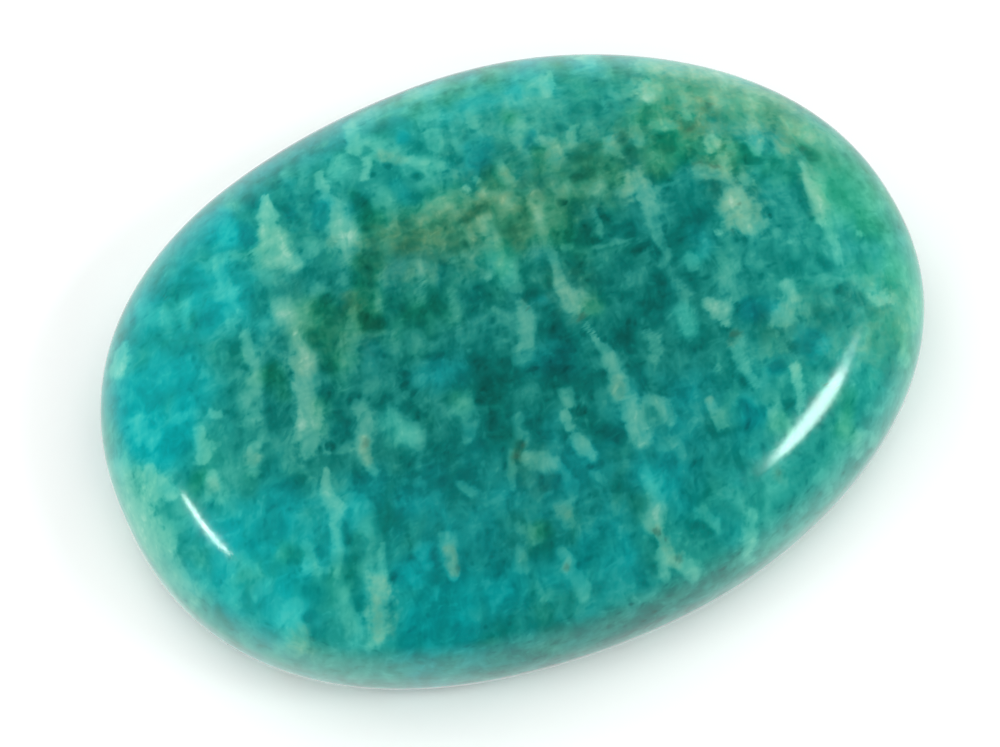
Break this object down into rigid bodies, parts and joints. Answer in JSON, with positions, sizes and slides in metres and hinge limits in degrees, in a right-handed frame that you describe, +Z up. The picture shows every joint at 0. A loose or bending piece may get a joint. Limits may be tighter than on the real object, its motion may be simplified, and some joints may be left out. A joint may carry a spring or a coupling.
{
  "type": "amazonite cabochon",
  "caption": "Loose polished oval cabochon of mottled blue-green amazonite, with a low dome, a rounded girdle and a flat back.",
  "frame": {"origin": "middle of the flat back, which the stone rests on", "axes": "+X along the stone's length, +Y along its width, +Z up through the dome"},
  "size_m": [0.04, 0.03, 0.008],
  "materials": {
    "amazonite": "polished"
  },
  "bodies": {
    "root": {"cabochon": "amazonite"}
  },
  "joints": []
}
